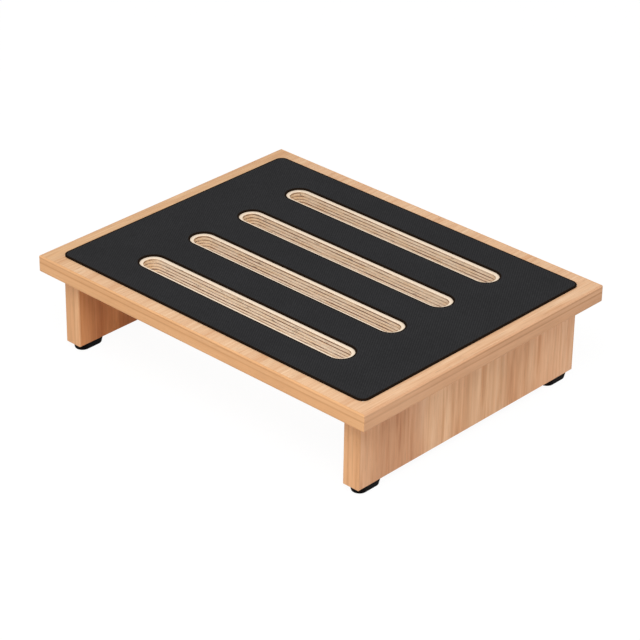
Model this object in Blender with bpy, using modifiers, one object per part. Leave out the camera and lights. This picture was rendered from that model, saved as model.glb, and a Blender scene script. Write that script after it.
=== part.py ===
"""Under-desk footrest: a slotted plywood top with a non-slip mat, carried by two side panels on rubber feet.

Metres, +Z up. The origin is on the floor below the middle of the top. +X runs along the long side,
to the right as seen from the front, and +Y runs to the back.
"""

import math

import bmesh
import bpy

# Top: plywood with a solid wood band mitred round its four edges
TOP_LENGTH = 0.450
TOP_DEPTH = 0.356
TOP_THICKNESS = 0.018
TOP_CORNER_RADIUS = 0.003
TOP_EDGE_RADIUS = 0.0015
BAND_THICKNESS = 0.002

# Slots routed right through the top, parallel to its long side
SLOT_COUNT = 4
SLOT_PITCH = 0.0716
SLOT_LENGTH = 0.280
SLOT_WIDTH = 0.0208
SLOT_RIM_RADIUS = 0.0006
SLOT_UNDERSIDE_RADIUS = 0.0006

# Mat glued on the top, with a cut-out round each slot
MAT_THICKNESS = 0.0015
MAT_MARGIN = 0.0165
MAT_CORNER_RADIUS = 0.009
MAT_SLOT_MARGIN = 0.0039

# Side panels below the top, with a wood band on their front and back edges
PANEL_HEIGHT = 0.0805
PANEL_THICKNESS = 0.020
PANEL_SIDE_INSET = 0.020
PANEL_END_INSET = 0.0165
PANEL_EDGE_RADIUS = 0.0008

# Countersunk screws down through the top into each panel, hidden by the mat
SCREWS_PER_PANEL = 3
SCREW_END_DISTANCE = 0.040
SCREW_IN_PANEL = 0.032
SCREW_RADIUS = 0.0025
SCREW_TIP = 0.005
SCREW_HEAD_RADIUS = 0.005
SCREW_HEAD_HEIGHT = 0.0028

# Dowels midway between the screws, and the wood left above them in the top
DOWEL_RADIUS = 0.004
DOWEL_CHAMFER = 0.0008
DOWEL_IN_PANEL = 0.018
DOWEL_COVER = 0.006

# Rubber feet, oblong and tapered
FOOT_LENGTH = 0.035
FOOT_WIDTH = 0.0195
FOOT_HEIGHT = 0.0077
FOOT_DRAFT = 0.0018
FOOT_RIM_RADIUS = 0.001
FOOT_END_INSET = 0.003

# Two pan-head screws up through each foot, sunk in recesses and bearing on washers
FOOT_SCREW_SPACING = 0.016
FOOT_SCREW_RADIUS = 0.00175
FOOT_SCREW_IN_PANEL = 0.011
FOOT_SCREW_TIP = 0.0035
FOOT_SCREW_HEAD_RADIUS = 0.0034
FOOT_SCREW_HEAD_HEIGHT = 0.002
FOOT_SCREW_CROWN_RADIUS = 0.0024
FOOT_RECESS_DEPTH = 0.0045
WASHER_RADIUS = 0.0039
WASHER_THICKNESS = 0.0008

# Clearance between pieces that touch, and how far a cutter runs past the face that it opens
GAP = 0.0003
PAST = 0.002
WELD_DISTANCE = 0.00001

# Facets in a half circle of an outline, in an edge's quarter round, in a slot's rim and round a turned piece
HALF_CIRCLE_STEPS = 12
EDGE_STEPS = 2
RIM_STEPS = 2
TURNED_STEPS = 12
SMOOTH_ANGLE = math.radians(35)

# Heights above the floor
PANEL_BOTTOM = FOOT_HEIGHT + GAP
PANEL_TOP = PANEL_BOTTOM + PANEL_HEIGHT
TOP_UNDERSIDE = PANEL_TOP + GAP
TOP_SURFACE = TOP_UNDERSIDE + TOP_THICKNESS
MAT_UNDERSIDE = TOP_SURFACE + GAP

# Places in plan
PANEL_X = TOP_LENGTH / 2 - PANEL_SIDE_INSET - PANEL_THICKNESS / 2
PANEL_END_Y = TOP_DEPTH / 2 - PANEL_END_INSET
FOOT_Y = PANEL_END_Y - FOOT_END_INSET - FOOT_LENGTH / 2
SIDES = {"left": -PANEL_X, "right": PANEL_X}
ENDS = {"front": -1, "back": 1}

# Colour, roughness and metallic value of each finish
FINISHES = {
    "birch_plywood": ((0.72, 0.50, 0.31), 0.55, 0.0),
    "wood_band": ((0.75, 0.45, 0.22), 0.50, 0.0),
    "veneered_panel": ((0.62, 0.36, 0.19), 0.50, 0.0),
    "beech_dowel": ((0.65, 0.42, 0.24), 0.60, 0.0),
    "mat_rubber": ((0.030, 0.030, 0.032), 0.80, 0.0),
    "foot_rubber": ((0.012, 0.012, 0.012), 0.60, 0.0),
    "zinc_steel": ((0.60, 0.60, 0.58), 0.35, 1.0),
}


def clear_scene():
    for thing in list(bpy.data.objects):
        bpy.data.objects.remove(thing, do_unlink=True)


def new_collection(name):
    collection = bpy.data.collections.new(name)
    bpy.context.scene.collection.children.link(collection)
    return collection


def finish(name):
    """The Principled BSDF material of one finish, made on its first use."""
    if name in bpy.data.materials:
        return bpy.data.materials[name]
    colour, roughness, metallic = FINISHES[name]
    material = bpy.data.materials.new(name)
    material.use_nodes = True
    shader = material.node_tree.nodes["Principled BSDF"]
    shader.inputs["Base Color"].default_value = (*colour, 1.0)
    shader.inputs["Roughness"].default_value = roughness
    shader.inputs["Metallic"].default_value = metallic
    material.diffuse_color = (*colour, 1.0)
    return material


def add_part(name, mesh, finish_name, location=(0, 0, 0)):
    mesh.shade_smooth()
    mesh.set_sharp_from_angle(angle=SMOOTH_ANGLE)
    mesh.materials.clear()
    mesh.materials.append(finish(finish_name))
    part = bpy.data.objects.new(name, mesh)
    part.location = location
    part.parent = footrest
    parts.objects.link(part)
    return part


def add_cutter(name, mesh, location=(0, 0, 0), turn=0.0):
    cutter = bpy.data.objects.new(name, mesh)
    cutter.location = location
    cutter.rotation_euler.z = turn
    cutter.hide_render = True
    cutter.display_type = "WIRE"
    cutters.objects.link(cutter)
    return cutter


def boolean(part, cutter, operation="DIFFERENCE"):
    modifier = part.modifiers.new(cutter.name, "BOOLEAN")
    modifier.operation = operation
    modifier.solver = "EXACT"
    modifier.object = cutter


def arc(centre_x, centre_y, radius, start, sweep, steps):
    """Points along an arc with both its ends, the angles in degrees."""
    angles = [math.radians(start + sweep * i / steps) for i in range(steps + 1)]
    return [(centre_x + radius * math.cos(a), centre_y + radius * math.sin(a)) for a in angles]


def oblong(length, width):
    """An outline along X with full round ends."""
    radius = width / 2
    centre = length / 2 - radius
    right = arc(centre, 0, radius, -90, 180, HALF_CIRCLE_STEPS)
    left = arc(-centre, 0, radius, 90, 180, HALF_CIRCLE_STEPS)
    return right + left


def rounded_rectangle(length, depth, radius):
    x, y = length / 2 - radius, depth / 2 - radius
    corners = ((x, -y, -90), (x, y, 0), (-x, y, 90), (-x, -y, 180))
    steps = HALF_CIRCLE_STEPS // 2
    return [point for cx, cy, start in corners for point in arc(cx, cy, radius, start, 90, steps)]


def quarter_round(radius, steps):
    """(rise, growth) from the foot of a rounded rim, where its wall is upright, to its level end."""
    angles = [math.pi / 2 * i / steps for i in range(steps + 1)]
    return [(radius * math.sin(a), radius * (1 - math.cos(a))) for a in angles]


def finished_mesh(bm, name):
    mesh = bpy.data.meshes.new(name)
    bmesh.ops.recalc_face_normals(bm, faces=bm.faces)
    bm.to_mesh(mesh)
    bm.free()
    return mesh


def evaluated_mesh(thing):
    """The mesh of an object as its modifiers or its curve make it. The object itself is removed."""
    bpy.context.scene.collection.objects.link(thing)
    graph = bpy.context.evaluated_depsgraph_get()
    mesh = bpy.data.meshes.new_from_object(thing.evaluated_get(graph))
    mesh.transform(thing.matrix_world)
    bpy.data.objects.remove(thing, do_unlink=True)
    return mesh


def round_edges(bm, edges, radius):
    bmesh.ops.bevel(
        bm, geom=edges, offset=radius, segments=EDGE_STEPS, profile=0.5, affect="EDGES"
    )


def box(low, high):
    bm = bmesh.new()
    bmesh.ops.create_cube(bm, size=1.0)
    for vertex in bm.verts:
        vertex.co = [a + (b - a) * (c + 0.5) for a, b, c in zip(low, high, vertex.co)]
    return bm


def lofted_mesh(name, sections):
    """A solid through level outlines with as many points each, as (height, outline) from the bottom up."""
    bm = bmesh.new()
    rings = [[bm.verts.new((x, y, z)) for x, y in outline] for z, outline in sections]
    bm.faces.new(reversed(rings[0]))
    bm.faces.new(rings[-1])
    for lower, upper in zip(rings, rings[1:]):
        for i in range(len(lower)):
            j = (i + 1) % len(lower)
            bm.faces.new((lower[i], lower[j], upper[j], upper[i]))
    return finished_mesh(bm, name)


def sheet_mesh(name, outlines, thickness):
    """A level sheet, half of it above z = 0: the first outline is its rim, and the others are cut out."""
    curve = bpy.data.curves.new(name, "CURVE")
    curve.dimensions = "2D"
    curve.fill_mode = "BOTH"
    curve.extrude = thickness / 2
    for outline in outlines:
        spline = curve.splines.new("POLY")
        spline.points.add(len(outline) - 1)
        for point, (x, y) in zip(spline.points, outline):
            point.co = (x, y, 0, 1)
        spline.use_cyclic_u = True
    mesh = evaluated_mesh(bpy.data.objects.new(name, curve))
    bm = bmesh.new()
    bm.from_mesh(mesh)
    bmesh.ops.remove_doubles(bm, verts=bm.verts, dist=WELD_DISTANCE)
    return finished_mesh(bm, name)


def turned_mesh(name, profile, closed=False):
    """A turned solid from its (radius, height) profile, which runs down its outer side."""
    last = len(profile) - 1
    edges = [(i, i + 1) for i in range(last)]
    if closed:
        edges.append((last, 0))
    mesh = bpy.data.meshes.new(name)
    mesh.from_pydata([(radius, 0, height) for radius, height in profile], edges, [])
    turned = bpy.data.objects.new(name, mesh)
    screw = turned.modifiers.new("turn", "SCREW")
    screw.angle = math.tau
    screw.steps = TURNED_STEPS
    screw.render_steps = TURNED_STEPS
    screw.use_merge_vertices = True
    screw.merge_threshold = WELD_DISTANCE
    return evaluated_mesh(turned)


def spread(count, reach):
    """Evenly spaced places from -reach to reach."""
    if count == 1:
        return [0.0]
    return [reach * (2 * i / (count - 1) - 1) for i in range(count)]


def slot_places():
    return spread(SLOT_COUNT, (SLOT_COUNT - 1) / 2 * SLOT_PITCH)


def screw_places():
    return spread(SCREWS_PER_PANEL, PANEL_END_Y - SCREW_END_DISTANCE)


def dowel_places():
    screws = screw_places()
    return [(a + b) / 2 for a, b in zip(screws, screws[1:])]


def make_slot_cutters():
    """The four slots, flared at both faces of the top by the quarter rounds of their rims."""
    under = quarter_round(SLOT_UNDERSIDE_RADIUS, RIM_STEPS)
    rim = quarter_round(SLOT_RIM_RADIUS, RIM_STEPS)
    growths = [(TOP_UNDERSIDE - PAST, SLOT_UNDERSIDE_RADIUS)]
    growths += [(TOP_UNDERSIDE + SLOT_UNDERSIDE_RADIUS - rise, grown) for rise, grown in reversed(under)]
    growths += [(TOP_SURFACE - SLOT_RIM_RADIUS + rise, grown) for rise, grown in rim]
    growths += [(TOP_SURFACE + PAST, SLOT_RIM_RADIUS)]
    sections = [(z, oblong(SLOT_LENGTH + 2 * grown, SLOT_WIDTH + 2 * grown)) for z, grown in growths]
    mesh = lofted_mesh("slot", sections)
    return [add_cutter(f"slot_{i}", mesh, (0, y, 0)) for i, y in enumerate(slot_places(), 1)]


def make_screw_cutters():
    """Countersunk holes, each drilled in one go through the top and into the panel below it."""
    head_top = TOP_SURFACE - GAP
    head_radius = SCREW_HEAD_RADIUS + GAP
    shank_radius = SCREW_RADIUS + GAP
    neck = head_top - SCREW_HEAD_HEIGHT - GAP
    end = PANEL_TOP - SCREW_IN_PANEL - GAP
    profile = [(0, TOP_SURFACE + PAST), (head_radius, TOP_SURFACE + PAST), (head_radius, head_top)]
    profile += [(shank_radius, neck), (shank_radius, end), (0, end)]
    mesh = turned_mesh("screw_hole", profile)
    return panel_row_cutters("screw_hole", mesh, screw_places())


def make_dowel_cutters():
    """Blind holes that meet face to face in the top and in the panel."""
    high = TOP_SURFACE - DOWEL_COVER + GAP
    low = PANEL_TOP - DOWEL_IN_PANEL - GAP
    radius = DOWEL_RADIUS + GAP
    mesh = turned_mesh("dowel_hole", [(0, high), (radius, high), (radius, low), (0, low)])
    return panel_row_cutters("dowel_hole", mesh, dowel_places())


def panel_row_cutters(name, mesh, places):
    """A row of cutters along each panel, as a list for each side."""
    rows = {}
    for side, x in SIDES.items():
        rows[side] = [add_cutter(f"{name}_{side}_{i}", mesh, (x, y, 0)) for i, y in enumerate(places, 1)]
    return rows


def foot_screw_places(end):
    """The two screws' places along Y in the foot at one end of a panel."""
    return [ENDS[end] * FOOT_Y + y for y in spread(2, FOOT_SCREW_SPACING / 2)]


def make_foot_screw_cutters():
    """A wide recess in the foot, and a narrow hole through it into the panel."""
    wide, narrow = WASHER_RADIUS + GAP, FOOT_SCREW_RADIUS + GAP
    high = PANEL_BOTTOM + FOOT_SCREW_IN_PANEL + GAP
    profile = [(0, high), (narrow, high), (narrow, FOOT_RECESS_DEPTH)]
    profile += [(wide, FOOT_RECESS_DEPTH), (wide, -PAST), (0, -PAST)]
    mesh = turned_mesh("foot_screw_hole", profile)
    rows = {}
    for side, x in SIDES.items():
        for end in ENDS:
            name = f"foot_screw_hole_{side}_{end}"
            places = enumerate(foot_screw_places(end), 1)
            rows[side, end] = [add_cutter(f"{name}_{i}", mesh, (x, y, 0)) for i, y in places]
    return rows


def make_top_board(holes):
    inset = BAND_THICKNESS + GAP
    x, y = TOP_LENGTH / 2 - inset, TOP_DEPTH / 2 - inset
    mesh = finished_mesh(box((-x, -y, TOP_UNDERSIDE), (x, y, TOP_SURFACE)), "top_board")
    board = add_part("top_board", mesh, "birch_plywood")
    for cutter in holes:
        boolean(board, cutter)


def make_edge_bands():
    """Four strips round the top, cut by mitre wedges from one slab with rounded corners and rims."""
    x, y = TOP_LENGTH / 2, TOP_DEPTH / 2
    slab = box((-x, -y, TOP_UNDERSIDE), (x, y, TOP_SURFACE))
    upright = [e for e in slab.edges if e.verts[0].co.z != e.verts[1].co.z]
    round_edges(slab, upright, TOP_CORNER_RADIUS)
    rims = [e for e in slab.edges if abs(e.verts[0].co.z - e.verts[1].co.z) < TOP_THICKNESS / 2]
    round_edges(slab, rims, min(TOP_EDGE_RADIUS, BAND_THICKNESS))
    slab_mesh = finished_mesh(slab, "edge_band")

    low, high = TOP_UNDERSIDE - PAST, TOP_SURFACE + PAST
    inner_x, inner_y = x - BAND_THICKNESS, y - BAND_THICKNESS
    core = finished_mesh(box((-inner_x, -inner_y, low), (inner_x, inner_y, high)), "band_core")
    core_cutter = add_cutter("band_core", core)
    for turn, side in enumerate(("front", "right", "back", "left")):
        along, across = (x, y) if side in ENDS else (y, x)
        outer = along + PAST - GAP / math.sqrt(2)
        inner = outer - BAND_THICKNESS - 2 * PAST
        outline = [(-outer, -across - PAST), (outer, -across - PAST)]
        outline += [(inner, PAST + BAND_THICKNESS - across), (-inner, PAST + BAND_THICKNESS - across)]
        wedge = lofted_mesh(f"mitre_{side}", [(low, outline), (high, outline)])
        band = add_part(f"edge_band_{side}", slab_mesh, "wood_band")
        boolean(band, core_cutter)
        boolean(band, add_cutter(f"mitre_{side}", wedge, turn=math.pi / 2 * turn), "INTERSECT")


def make_mat():
    length, depth = TOP_LENGTH - 2 * MAT_MARGIN, TOP_DEPTH - 2 * MAT_MARGIN
    outlines = [rounded_rectangle(length, depth, MAT_CORNER_RADIUS)]
    for place in slot_places():
        opening = oblong(SLOT_LENGTH + 2 * MAT_SLOT_MARGIN, SLOT_WIDTH + 2 * MAT_SLOT_MARGIN)
        outlines.append([(x, y + place) for x, y in opening])
    mesh = sheet_mesh("non_slip_mat", outlines, MAT_THICKNESS)
    add_part("non_slip_mat", mesh, "mat_rubber", (0, 0, MAT_UNDERSIDE + MAT_THICKNESS / 2))


def make_side_panel(side, holes):
    """A panel whose long bottom edges are rounded, drilled from above and below."""
    x, y = PANEL_THICKNESS / 2, PANEL_END_Y - BAND_THICKNESS - GAP
    block = box((-x, -y, PANEL_BOTTOM), (x, y, PANEL_TOP))
    bottom = [e for e in block.edges if all(v.co.z < PANEL_TOP for v in e.verts)]
    long_edges = [e for e in bottom if e.verts[0].co.y != e.verts[1].co.y]
    round_edges(block, long_edges, PANEL_EDGE_RADIUS)
    mesh = finished_mesh(block, f"side_panel_{side}")
    panel = add_part(f"side_panel_{side}", mesh, "veneered_panel", (SIDES[side], 0, 0))
    for cutter in holes:
        boolean(panel, cutter)


def make_panel_bands(side):
    """Upright strips on a panel's front and back edges, rounded wherever they show an edge."""
    x = PANEL_THICKNESS / 2
    for end, sign in ENDS.items():
        outer, inner = sign * PANEL_END_Y, sign * (PANEL_END_Y - BAND_THICKNESS)
        low, high = (-x, min(outer, inner), PANEL_BOTTOM), (x, max(outer, inner), PANEL_TOP)
        strip = box(low, high)
        below_top = [e for e in strip.edges if min(v.co.z for v in e.verts) < PANEL_TOP - GAP]
        shown = [e for e in below_top if max(abs(v.co.y) for v in e.verts) > PANEL_END_Y - GAP]
        round_edges(strip, shown, min(PANEL_EDGE_RADIUS, BAND_THICKNESS / 2))
        name = f"panel_band_{side}_{end}"
        add_part(name, finished_mesh(strip, name), "wood_band", (SIDES[side], 0, 0))


def make_dowels():
    high, low = TOP_SURFACE - DOWEL_COVER, PANEL_TOP - DOWEL_IN_PANEL
    small = DOWEL_RADIUS - DOWEL_CHAMFER
    profile = [(0, high), (small, high), (DOWEL_RADIUS, high - DOWEL_CHAMFER)]
    profile += [(DOWEL_RADIUS, low + DOWEL_CHAMFER), (small, low), (0, low)]
    mesh = turned_mesh("dowel", profile)
    for side, x in SIDES.items():
        for i, y in enumerate(dowel_places(), 1):
            add_part(f"dowel_{side}_{i}", mesh, "beech_dowel", (x, y, 0))


def make_panel_screws():
    high, low = TOP_SURFACE - GAP, PANEL_TOP - SCREW_IN_PANEL
    profile = [(0, high), (SCREW_HEAD_RADIUS, high), (SCREW_RADIUS, high - SCREW_HEAD_HEIGHT)]
    profile += [(SCREW_RADIUS, low + SCREW_TIP), (0, low)]
    mesh = turned_mesh("panel_screw", profile)
    for side, x in SIDES.items():
        for i, y in enumerate(screw_places(), 1):
            add_part(f"panel_screw_{side}_{i}", mesh, "zinc_steel", (x, y, 0))


def make_feet(holes):
    """Oblong feet along Y that narrow towards the floor, with a rounded lower rim."""
    insets = [(FOOT_RIM_RADIUS - rise, FOOT_DRAFT + inset)
              for rise, inset in reversed(quarter_round(FOOT_RIM_RADIUS, EDGE_STEPS))]
    insets.append((FOOT_HEIGHT, 0.0))
    sections = []
    for height, inset in insets:
        outline = oblong(FOOT_LENGTH - 2 * inset, FOOT_WIDTH - 2 * inset)
        sections.append((height, [(-y, x) for x, y in outline]))
    for side, x in SIDES.items():
        for end, sign in ENDS.items():
            name = f"foot_{side}_{end}"
            foot = add_part(name, lofted_mesh(name, sections), "foot_rubber", (x, sign * FOOT_Y, 0))
            for cutter in holes[side, end]:
                boolean(foot, cutter)


def make_foot_fasteners():
    """A washer up against the top of each recess, and a pan-head screw through it."""
    washer_top = FOOT_RECESS_DEPTH - GAP
    washer_bottom = washer_top - WASHER_THICKNESS
    hole = FOOT_SCREW_RADIUS + GAP
    ring = [(WASHER_RADIUS, washer_top), (WASHER_RADIUS, washer_bottom)]
    ring += [(hole, washer_bottom), (hole, washer_top)]
    washer_mesh = turned_mesh("foot_washer", ring, closed=True)

    tip = PANEL_BOTTOM + FOOT_SCREW_IN_PANEL
    bearing = washer_bottom - GAP
    head_bottom = bearing - FOOT_SCREW_HEAD_HEIGHT
    profile = [(0, tip), (FOOT_SCREW_RADIUS, tip - FOOT_SCREW_TIP), (FOOT_SCREW_RADIUS, bearing)]
    profile += [(FOOT_SCREW_HEAD_RADIUS, bearing), (FOOT_SCREW_HEAD_RADIUS, (bearing + head_bottom) / 2)]
    profile += [(FOOT_SCREW_CROWN_RADIUS, head_bottom), (0, head_bottom)]
    screw_mesh = turned_mesh("foot_screw", profile)
    for side, x in SIDES.items():
        for end in ENDS:
            for i, y in enumerate(foot_screw_places(end), 1):
                add_part(f"foot_washer_{side}_{end}_{i}", washer_mesh, "zinc_steel", (x, y, 0))
                add_part(f"foot_screw_{side}_{end}_{i}", screw_mesh, "zinc_steel", (x, y, 0))


clear_scene()
parts = new_collection("under_desk_footrest")
cutters = new_collection("cutters")
footrest = bpy.data.objects.new("footrest_origin", None)
parts.objects.link(footrest)

slots = make_slot_cutters()
screw_holes = make_screw_cutters()
dowel_holes = make_dowel_cutters()
foot_holes = make_foot_screw_cutters()

make_top_board(slots + sum([screw_holes[side] + dowel_holes[side] for side in SIDES], []))
make_edge_bands()
make_mat()
for panel_side in SIDES:
    lower_holes = sum([foot_holes[panel_side, end] for end in ENDS], [])
    make_side_panel(panel_side, screw_holes[panel_side] + dowel_holes[panel_side] + lower_holes)
    make_panel_bands(panel_side)
make_dowels()
make_panel_screws()
make_feet(foot_holes)
make_foot_fasteners()
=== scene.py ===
import math

import bpy
from mathutils import Matrix, Vector


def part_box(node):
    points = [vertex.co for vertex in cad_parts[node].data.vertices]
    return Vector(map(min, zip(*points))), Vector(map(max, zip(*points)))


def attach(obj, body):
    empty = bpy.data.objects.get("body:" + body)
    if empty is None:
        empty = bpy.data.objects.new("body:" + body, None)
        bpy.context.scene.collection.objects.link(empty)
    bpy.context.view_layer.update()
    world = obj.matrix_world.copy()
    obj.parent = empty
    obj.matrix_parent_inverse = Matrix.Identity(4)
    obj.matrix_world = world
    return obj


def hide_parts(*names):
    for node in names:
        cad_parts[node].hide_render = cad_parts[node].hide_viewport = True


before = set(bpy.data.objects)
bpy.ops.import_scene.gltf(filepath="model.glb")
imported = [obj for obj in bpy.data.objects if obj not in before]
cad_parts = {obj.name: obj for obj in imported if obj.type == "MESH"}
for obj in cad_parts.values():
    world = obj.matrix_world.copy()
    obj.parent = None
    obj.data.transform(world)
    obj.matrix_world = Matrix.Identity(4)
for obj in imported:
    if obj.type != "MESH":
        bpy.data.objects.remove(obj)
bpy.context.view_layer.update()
print("frame loaded:", len(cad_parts), "nodes")

boardLow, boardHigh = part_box("top_board")
topFace = boardHigh.z
underFace = boardLow.z
glueGap = 0.00002  # left between pieces that are glued, where the CAD keeps 0.3 mm
panelX = 0.195  # from the middle of the board to the middle of each panel
panelSides = (("left", -panelX), ("right", panelX))
near = 0.0001  # points this close to a face count as on it
outlineSlack = 0.0002  # and points this close to a rounded outline
cutterReach = 0.004  # how far a slot's cutter runs past the faces that it cuts
drillReach = 0.002  # and how far a drill does
edgeSteps = 4  # facets round a small edge


# Small tools used by every piece

def pickOnly(piece):
    bpy.ops.object.select_all(action="DESELECT")
    piece.select_set(True)
    bpy.context.view_layer.objects.active = piece


def addBlock(name, low, high):
    low, high = Vector(low), Vector(high)
    bpy.ops.object.select_all(action="DESELECT")
    bpy.ops.mesh.primitive_cube_add(size=1, location=(low + high) / 2)
    block = bpy.context.active_object
    block.name = name
    block.scale = high - low
    bpy.ops.object.transform_apply(location=True, rotation=True, scale=True)
    return block


def addRod(name, radius, low, high, place=(0, 0), sides=32):
    bpy.ops.object.select_all(action="DESELECT")
    middle = (place[0], place[1], (low + high) / 2)
    bpy.ops.mesh.primitive_cylinder_add(vertices=sides, radius=radius, depth=high - low, location=middle)
    rod = bpy.context.active_object
    rod.name = name
    bpy.ops.object.transform_apply(location=True, rotation=True, scale=True)
    return rod


def startEdit(piece, mode):
    pickOnly(piece)
    bpy.ops.object.mode_set(mode="EDIT")
    bpy.ops.mesh.select_mode(type=mode)
    bpy.ops.mesh.select_all(action="DESELECT")
    bpy.ops.object.mode_set(mode="OBJECT")


def pickEdges(piece, wanted):  # wanted gets the two ends of an edge
    startEdit(piece, "EDGE")
    corners = piece.data.vertices
    for edge in piece.data.edges:
        edge.select = bool(wanted(corners[edge.vertices[0]].co, corners[edge.vertices[1]].co))
    bpy.ops.object.mode_set(mode="EDIT")


def pickFaces(piece, wanted):
    startEdit(piece, "FACE")
    for face in piece.data.polygons:
        face.select = bool(wanted(face))
    bpy.ops.object.mode_set(mode="EDIT")


def pickAll(piece):
    startEdit(piece, "VERT")
    bpy.ops.object.mode_set(mode="EDIT")
    bpy.ops.mesh.select_all(action="SELECT")


def endEdit():
    bpy.ops.object.mode_set(mode="OBJECT")


def isUpright(first, second):  # true of an edge that stands up
    return abs(first.z - second.z) > 0.0005


def isLevel(first, second):
    return not isUpright(first, second)


def roundEdges(piece, wanted, radius, steps):
    pickEdges(piece, wanted)
    bpy.ops.mesh.bevel(offset=radius, segments=steps, profile=0.5, affect="EDGES", loop_slide=False)
    endEdit()


def mergePoints(piece, distance=0.000004):
    pickAll(piece)
    bpy.ops.mesh.remove_doubles(threshold=distance)
    endEdit()


def joinSolids(piece, other, operation):
    pickOnly(piece)
    change = piece.modifiers.new("change", "BOOLEAN")
    change.operation = operation
    change.solver = "EXACT"
    change.object = other
    bpy.ops.object.modifier_apply(modifier=change.name)
    bpy.data.objects.remove(other, do_unlink=True)


def cutAway(piece, cutter):
    joinSolids(piece, cutter, "DIFFERENCE")


def copyTo(piece, move):  # a twin with its own mesh, moved by an offset or a matrix
    twin = piece.copy()
    twin.data = piece.data.copy()
    twin.data.transform(move if isinstance(move, Matrix) else Matrix.Translation(move))
    bpy.context.scene.collection.objects.link(twin)
    return twin


def halfTurn(x, y):  # half a turn about an upright line through x, y
    away = Matrix.Translation((x, y, 0))
    return away @ Matrix.Rotation(math.pi, 4, "Z") @ away.inverted()


def addOblong(name, length, width, low, high, centre=(0, 0), alongY=False, steps=16):
    # a block whose upright edges are rounded till its ends are half circles
    half = Vector((width, length, 0)) / 2 if alongY else Vector((length, width, 0)) / 2
    middle = Vector((centre[0], centre[1], 0))
    oblong = addBlock(name, middle - half + Vector((0, 0, low)), middle + half + Vector((0, 0, high)))
    roundEdges(oblong, lambda a, b: abs(a.z - b.z) > (high - low) / 2, width / 2, steps)
    mergePoints(oblong)
    return oblong


def smoothByAngle(piece, angle=35):
    pickOnly(piece)
    bpy.ops.object.shade_smooth_by_angle(angle=math.radians(angle))


def weighNormals(piece):  # keeps large flat faces flat beside their rounded edges
    smoothByAngle(piece)
    weigh = piece.modifiers.new("weigh", "WEIGHTED_NORMAL")
    weigh.keep_sharp = True
    weigh.weight = 100
    bpy.ops.object.modifier_apply(modifier=weigh.name)


def finishPiece(piece, name, node, slotName, *materials):
    piece.name = name
    piece.data.name = name
    faceFinish = [face.material_index for face in piece.data.polygons]
    piece.data.materials.clear()
    for material in materials:
        piece.data.materials.append(material)
    for face, index in zip(piece.data.polygons, faceFinish):
        face.material_index = index
    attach(piece, "root")
    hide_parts(node)


# Node building tools

def shade(red, green, blue):  # a colour on a 0 to 255 screen scale, as the shader's linear values
    def value(level):
        level /= 255
        return level / 12.92 if level <= 0.04045 else ((level + 0.055) / 1.055) ** 2.4
    return (value(red), value(green), value(blue), 1)


def newMaterial(name):
    material = bpy.data.materials.new(name)
    material.use_nodes = True
    nodes = material.node_tree.nodes
    return material, nodes, material.node_tree.links, nodes["Principled BSDF"]


def mathNode(nodes, links, operation, first, second=None, third=None):
    node = nodes.new("ShaderNodeMath")
    node.operation = operation
    for socket, value in zip(node.inputs, (first, second, third)):
        if value is None:
            continue
        if isinstance(value, (int, float)):
            socket.default_value = value
        else:
            links.new(value, socket)
    return node.outputs[0]


def mappedCoords(nodes, links, scale=(1, 1, 1), offset=(0, 0, 0), turn=(0, 0, 0)):
    where = nodes.new("ShaderNodeTexCoord")
    mapping = nodes.new("ShaderNodeMapping")
    mapping.inputs["Scale"].default_value = scale
    mapping.inputs["Location"].default_value = offset
    mapping.inputs["Rotation"].default_value = [math.radians(angle) for angle in turn]
    links.new(where.outputs["Object"], mapping.inputs["Vector"])
    return mapping.outputs["Vector"]


def placeParts(nodes, links):  # X, Y and Z of the shaded point
    where = nodes.new("ShaderNodeTexCoord")
    apart = nodes.new("ShaderNodeSeparateXYZ")
    links.new(where.outputs["Object"], apart.inputs["Vector"])
    return apart.outputs


def noiseNode(nodes, links, vector, size, detail=2.0, roughness=0.5, distortion=0.0):
    noise = nodes.new("ShaderNodeTexNoise")
    noise.inputs["Scale"].default_value = 1 / size
    noise.inputs["Detail"].default_value = detail
    noise.inputs["Roughness"].default_value = roughness
    noise.inputs["Distortion"].default_value = distortion
    links.new(vector, noise.inputs["Vector"])
    return noise.outputs["Fac"]


def rampNode(nodes, links, factor, stops):  # stops are (position, colour or grey level)
    ramp = nodes.new("ShaderNodeValToRGB")
    points = ramp.color_ramp.elements
    while len(points) < len(stops):
        points.new(0.5)
    for point, (position, colour) in zip(points, stops):
        point.position = position
        point.color = (colour, colour, colour, 1) if isinstance(colour, (int, float)) else colour
    links.new(factor, ramp.inputs["Fac"])
    return ramp.outputs["Color"]


def mixNode(nodes, links, factor, first, second, blend="MIX"):
    mix = nodes.new("ShaderNodeMix")
    mix.data_type = "RGBA"
    mix.blend_type = blend
    for socket, value in ((mix.inputs[0], factor), (mix.inputs[6], first), (mix.inputs[7], second)):
        if isinstance(value, (int, float, tuple)):
            socket.default_value = value
        else:
            links.new(value, socket)
    return mix.outputs[2]


def multiplyNode(nodes, links, colour, tone):
    return mixNode(nodes, links, 1.0, colour, tone, "MULTIPLY")


def bumpNode(nodes, links, shader, height, strength, distance):
    bump = nodes.new("ShaderNodeBump")
    bump.inputs["Strength"].default_value = strength
    bump.inputs["Distance"].default_value = distance
    links.new(height, bump.inputs["Height"])
    links.new(bump.outputs["Normal"], shader.inputs["Normal"])


# Wood finishes

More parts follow.
